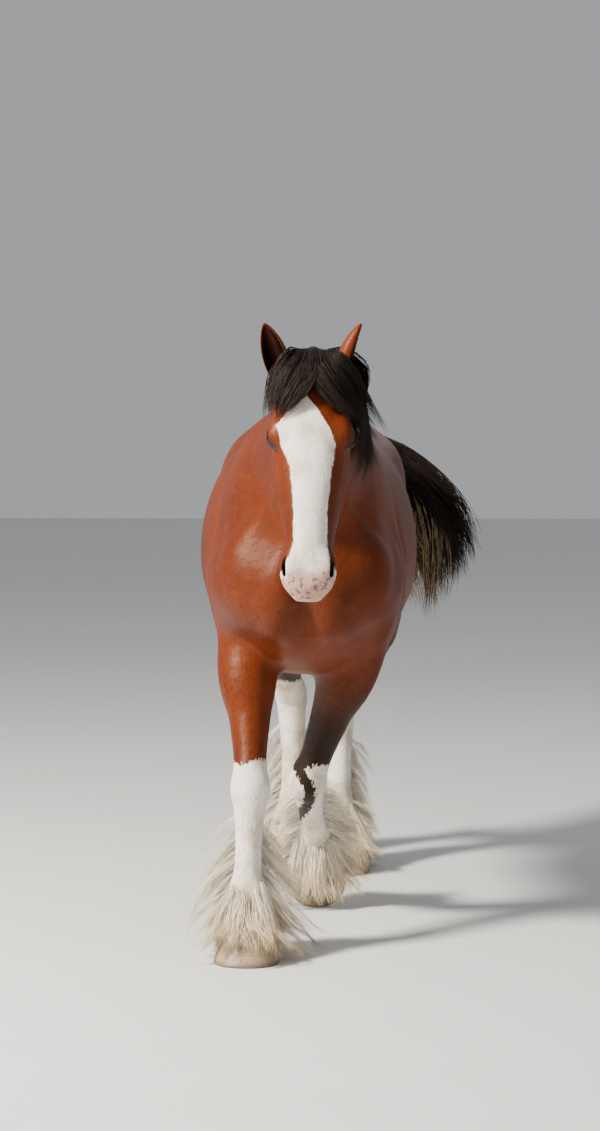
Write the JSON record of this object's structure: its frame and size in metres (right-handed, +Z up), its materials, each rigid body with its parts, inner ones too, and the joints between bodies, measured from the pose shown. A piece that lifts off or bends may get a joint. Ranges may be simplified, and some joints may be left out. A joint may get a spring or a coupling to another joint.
{
  "type": "clydesdale horse",
  "caption": "Life-size clydesdale horse walking, head lowered, one forefoot forward, with mane, swinging tail and feathered white legs.",
  "frame": {"origin": "on the floor, under the middle of the box round the whole horse, tail included", "axes": "+Z up, the horse faces -Y and its left side is towards +X"},
  "size_m": [1.0345, 2.7058, 1.9415],
  "materials": {
    "bay_coat": "glossy short hair",
    "dark_hair": "long hair",
    "white_hair": "long soft hair",
    "hoof_horn": "satin horn",
    "eye": "wet"
  },
  "bodies": {
    "root": {"ear_left": "bay_coat", "ear_right": "bay_coat", "eye_left": "eye", "eye_right": "eye", "foreleg_left_hoof": "hoof_horn", "foreleg_left_lower": "white_hair", "foreleg_left_upper": "bay_coat", "foreleg_right_hoof": "hoof_horn", "foreleg_right_lower": "white_hair", "foreleg_right_upper": "bay_coat", "head": "bay_coat", "hindleg_left_hoof": "hoof_horn", "hindleg_left_lower": "white_hair", "hindleg_left_upper": "bay_coat", "hindleg_right_hoof": "hoof_horn", "hindleg_right_lower": "white_hair", "hindleg_right_upper": "bay_coat", "neck": "bay_coat", "tail": "dark_hair", "torso": "bay_coat"}
  },
  "joints": []
}
